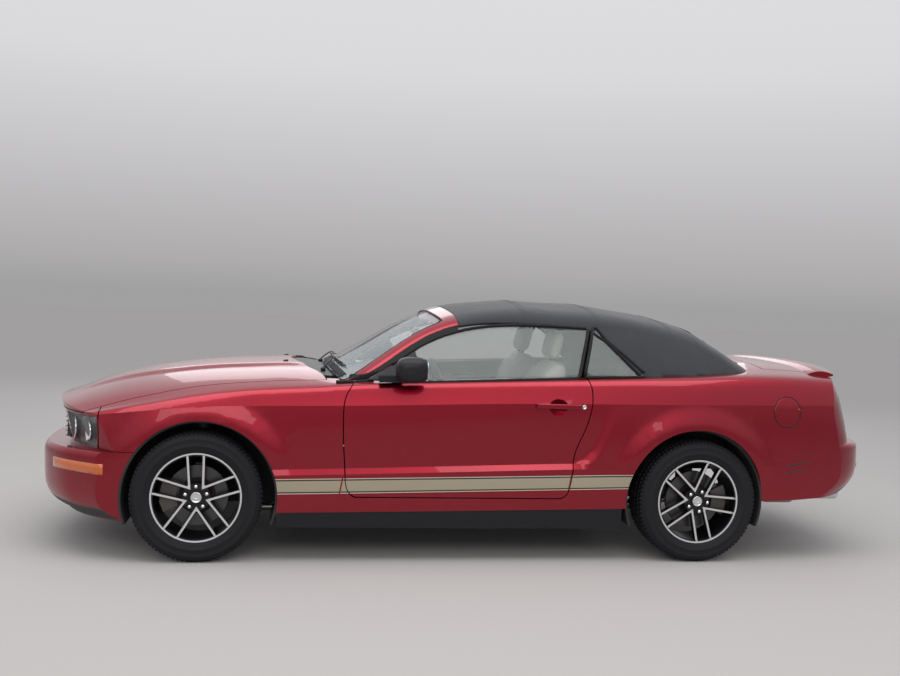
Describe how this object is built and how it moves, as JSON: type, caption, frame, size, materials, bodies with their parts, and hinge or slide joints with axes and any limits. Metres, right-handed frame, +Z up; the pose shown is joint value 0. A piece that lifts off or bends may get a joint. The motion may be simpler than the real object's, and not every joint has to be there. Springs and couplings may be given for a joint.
{
  "type": "convertible car",
  "caption": "Two-door convertible car with a cloth top, long hood, short rear deck with spoiler, split-spoke wheels, opening doors, hood and trunk lid, and steered front wheels.",
  "frame": {"origin": "on the ground, midway along the length and on the centre plane", "axes": "+X to the rear of the car, +Y to its right-hand side, +Z up; the car faces -X"},
  "size_m": [4.7642, 2.02, 1.4152],
  "materials": {
    "body_paint": "gloss metallic dark red",
    "black_plastic": "satin black",
    "cloth": "woven dark grey cloth",
    "window_glass": "clear, light green tint",
    "lamp_lens": "clear lens over a dark housing",
    "tail_lens": "red lens",
    "tyre_rubber": "black rubber",
    "wheel_metal": "black with machined faces",
    "disc_iron": "machined",
    "running_gear": "bare dark iron",
    "pan_metal": "black undercoat",
    "engine_metal": "cast, dull",
    "exhaust_metal": "brushed",
    "seat_leather": "grained",
    "dash_plastic": "grained dark grey"
  },
  "bodies": {
    "chassis": {"floor_pan": "pan_metal", "inner_wings": "pan_metal", "rear_floor": "pan_metal", "front_fenders": "body_paint", "body_sides": "body_paint", "sill_trims": "black_plastic", "windshield_frame": "body_paint", "cowl": "black_plastic", "front_bumper": "body_paint", "rear_bumper": "body_paint", "grille": "black_plastic", "front_lamps": "lamp_lens", "tail_lights": "tail_lens", "soft_top": "cloth", "windshield": "window_glass", "rear_glass": "window_glass", "dashboard": "dash_plastic", "front_seats": "seat_leather", "rear_seat": "seat_leather", "powertrain": "engine_metal", "exhaust": "exhaust_metal", "rear_axle": "running_gear", "front_suspension": "running_gear"},
    "hood": {"hood": "body_paint"},
    "trunk": {"trunk_lid": "body_paint", "spoiler": "body_paint"},
    "steering_wheel": {"steering_wheel": "dash_plastic"},
    "door_left": {"door_left": "body_paint", "door_glass_left": "window_glass", "mirror_left": "black_plastic"},
    "knuckle_left": {"knuckle_left": "running_gear"},
    "wheel_front_left": {"tyre_front_left": "tyre_rubber", "rim_front_left": "wheel_metal", "disc_front_left": "disc_iron"},
    "wheel_rear_left": {"tyre_rear_left": "tyre_rubber", "rim_rear_left": "wheel_metal", "disc_rear_left": "disc_iron"},
    "door_right": {"door_right": "body_paint", "door_glass_right": "window_glass", "mirror_right": "black_plastic"},
    "knuckle_right": {"knuckle_right": "running_gear"},
    "wheel_front_right": {"tyre_front_right": "tyre_rubber", "rim_front_right": "wheel_metal", "disc_front_right": "disc_iron"},
    "wheel_rear_right": {"tyre_rear_right": "tyre_rubber", "rim_rear_right": "wheel_metal", "disc_rear_right": "disc_iron"}
  },
  "joints": [
    {"name": "steer_left", "type": "hinge", "parent": "chassis", "child": "knuckle_left", "pos_m": [-1.4925, -0.77, 0.338], "axis": [0, 0, 1], "range_deg": [-32, 32]},
    {"name": "spin_front_left", "type": "hinge", "parent": "knuckle_left", "child": "wheel_front_left", "pos_m": [-1.4925, -0.79, 0.338], "axis": [0, 1, 0], "continuous": true},
    {"name": "spin_rear_left", "type": "hinge", "parent": "chassis", "child": "wheel_rear_left", "pos_m": [1.2275, -0.795, 0.338], "axis": [0, 1, 0], "continuous": true},
    {"name": "steer_right", "type": "hinge", "parent": "chassis", "child": "knuckle_right", "pos_m": [-1.4925, 0.77, 0.338], "axis": [0, 0, 1], "range_deg": [-32, 32]},
    {"name": "spin_front_right", "type": "hinge", "parent": "knuckle_right", "child": "wheel_front_right", "pos_m": [-1.4925, 0.79, 0.338], "axis": [0, 1, 0], "continuous": true},
    {"name": "spin_rear_right", "type": "hinge", "parent": "chassis", "child": "wheel_rear_right", "pos_m": [1.2275, 0.795, 0.338], "axis": [0, 1, 0], "continuous": true},
    {"name": "steering_turn", "type": "hinge", "parent": "chassis", "child": "steering_wheel", "pos_m": [-0.1525, -0.395, 0.88], "axis": [0.9135, 0, 0.4067], "range_deg": [-512, 512]},
    {"name": "door_left_hinge", "type": "hinge", "parent": "chassis", "child": "door_left", "pos_m": [-0.8415, -0.896, 0.65], "axis": [0, 0, -1], "range_deg": [0, 65]},
    {"name": "door_right_hinge", "type": "hinge", "parent": "chassis", "child": "door_right", "pos_m": [-0.8415, 0.896, 0.65], "axis": [0, 0, 1], "range_deg": [0, 65]},
    {"name": "hood_hinge", "type": "hinge", "parent": "chassis", "child": "hood", "pos_m": [-0.7925, 0, 0.96], "axis": [0, 1, 0], "range_deg": [0, 50]},
    {"name": "trunk_hinge", "type": "hinge", "parent": "chassis", "child": "trunk", "pos_m": [1.6675, 0, 1.102], "axis": [0, -1, 0], "range_deg": [0, 70]}
  ],
  "couplings": [
    {"joint": "steer_right", "follows": "steer_left", "ratio": 1},
    {"joint": "steering_turn", "follows": "steer_left", "ratio": 16}
  ]
}
